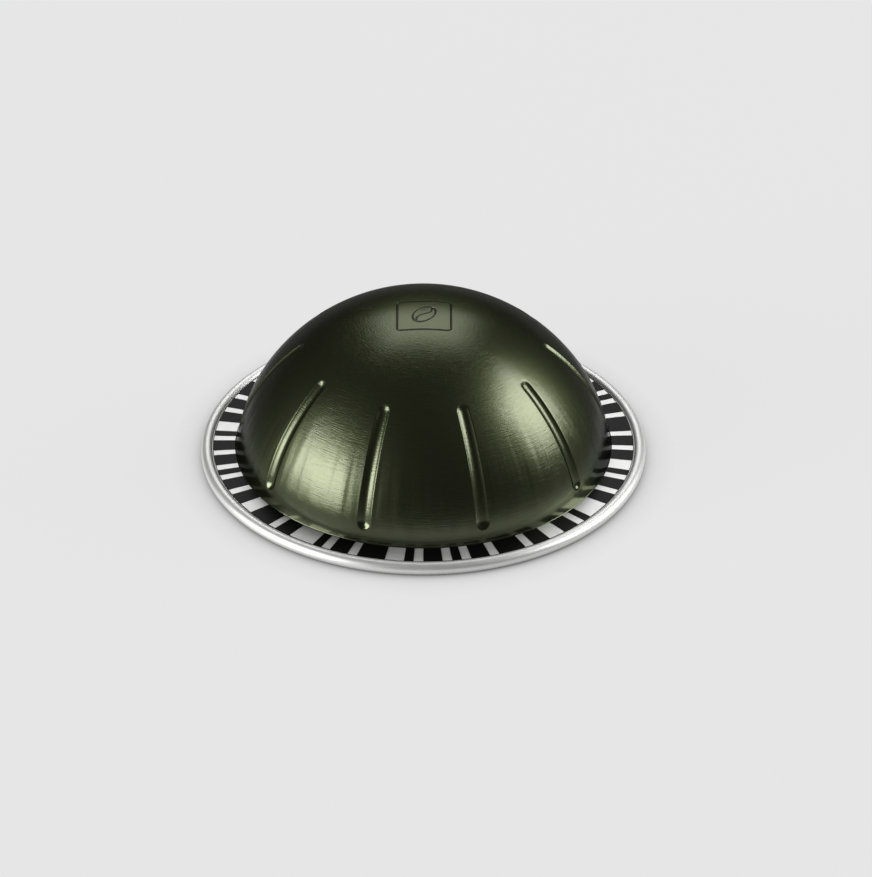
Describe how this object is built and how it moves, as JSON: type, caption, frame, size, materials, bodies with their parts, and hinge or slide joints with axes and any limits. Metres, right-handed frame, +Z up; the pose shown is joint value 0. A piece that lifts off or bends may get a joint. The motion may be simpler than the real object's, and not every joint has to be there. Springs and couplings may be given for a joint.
{
  "type": "coffee pod",
  "caption": "Sealed domed aluminium coffee pod with pressed grooves, a flange with a printed code band, a rolled rim and a foil lid underneath.",
  "frame": {"origin": "under the middle of the dome, on the surface that the rolled rim rests on", "axes": "+Z up along the pod's axis of revolution, towards the top of the dome; -Y towards the side seen in the picture, midway between two grooves"},
  "size_m": [0.062, 0.062, 0.0224],
  "materials": {
    "lacquered_aluminium": "satin dark green lacquer over drawn aluminium on the dome; the flange and the rolled rim are bare satin aluminium",
    "black_print": "thin black printed ink, slightly glossy",
    "bare_foil": "bare rolled aluminium foil, satin"
  },
  "bodies": {
    "root": {"capsule_body": "lacquered_aluminium", "code_band": "black_print", "foil_lid": "bare_foil"}
  },
  "joints": []
}
